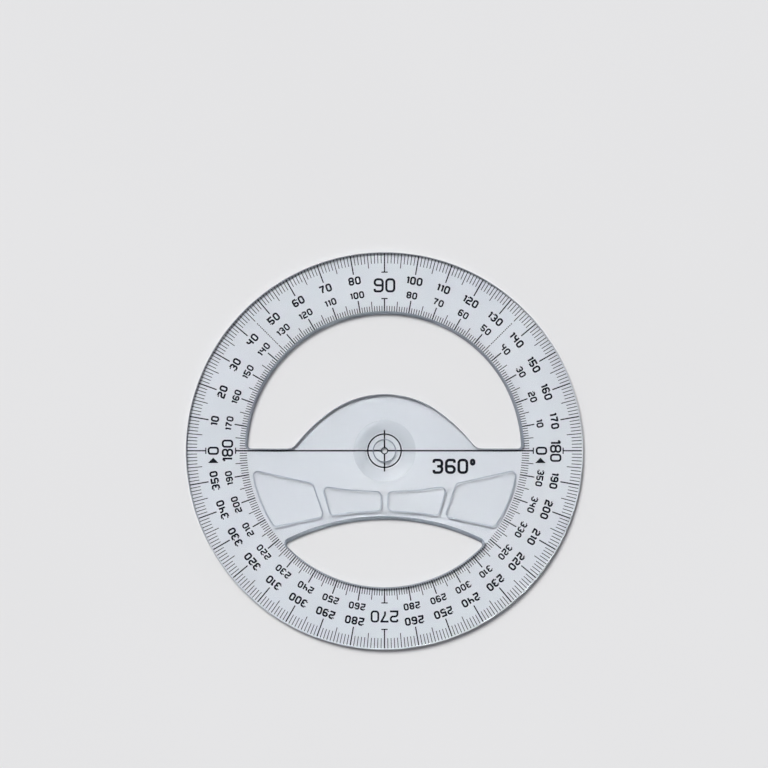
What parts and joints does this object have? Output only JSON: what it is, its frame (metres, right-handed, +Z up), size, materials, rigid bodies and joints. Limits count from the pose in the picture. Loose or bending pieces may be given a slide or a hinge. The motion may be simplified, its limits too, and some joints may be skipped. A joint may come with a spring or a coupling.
{
  "type": "protractor",
  "caption": "Clear full-circle protractor: flat scale ring crossed by a humped bridge with a dished centre, degree scales printed on the underside.",
  "frame": {"origin": "centre of the degree scales, on the underside that rests on the paper", "axes": "+Z up out of the paper (relief side), +Y towards the 90 mark, +X towards the 180 mark of the outer scale"},
  "size_m": [0.12, 0.12, 0.002],
  "materials": {
    "clear_plastic": "clear moulded plastic, glossy flats with matt edges, very slight cool tint",
    "ink": "opaque blue-black printing ink, satin"
  },
  "bodies": {
    "root": {"ink_baseline_and_reticle": "ink", "ink_bottom_270_digit_1": "ink", "ink_bottom_270_digit_2": "ink", "ink_bottom_270_digit_3": "ink", "ink_inner_mark_270": "ink", "ink_inner_mark_90": "ink", "ink_inner_scale_quadrant_1": "ink", "ink_inner_scale_quadrant_2": "ink", "ink_inner_scale_quadrant_3": "ink", "ink_inner_scale_quadrant_4": "ink", "ink_inner_zero_arrow": "ink", "ink_left_inner_180_digit_1": "ink", "ink_left_inner_180_digit_2": "ink", "ink_left_inner_180_digit_3": "ink", "ink_left_outer_0": "ink", "ink_outer_mark_0": "ink", "ink_outer_mark_180": "ink", "ink_outer_mark_270": "ink", "ink_outer_mark_90": "ink", "ink_outer_scale_quadrant_1": "ink", "ink_outer_scale_quadrant_2": "ink", "ink_outer_scale_quadrant_3": "ink", "ink_outer_scale_quadrant_4": "ink", "ink_outer_zero_arrow": "ink", "ink_range_360_digit_1": "ink", "ink_range_360_digit_2": "ink", "ink_range_360_digit_3": "ink", "ink_range_360_digit_4": "ink", "ink_right_inner_0": "ink", "ink_right_outer_180_digit_1": "ink", "ink_right_outer_180_digit_2": "ink", "ink_right_outer_180_digit_3": "ink", "ink_top_90_digit_1": "ink", "ink_top_90_digit_2": "ink", "protractor_plate": "clear_plastic"}
  },
  "joints": []
}
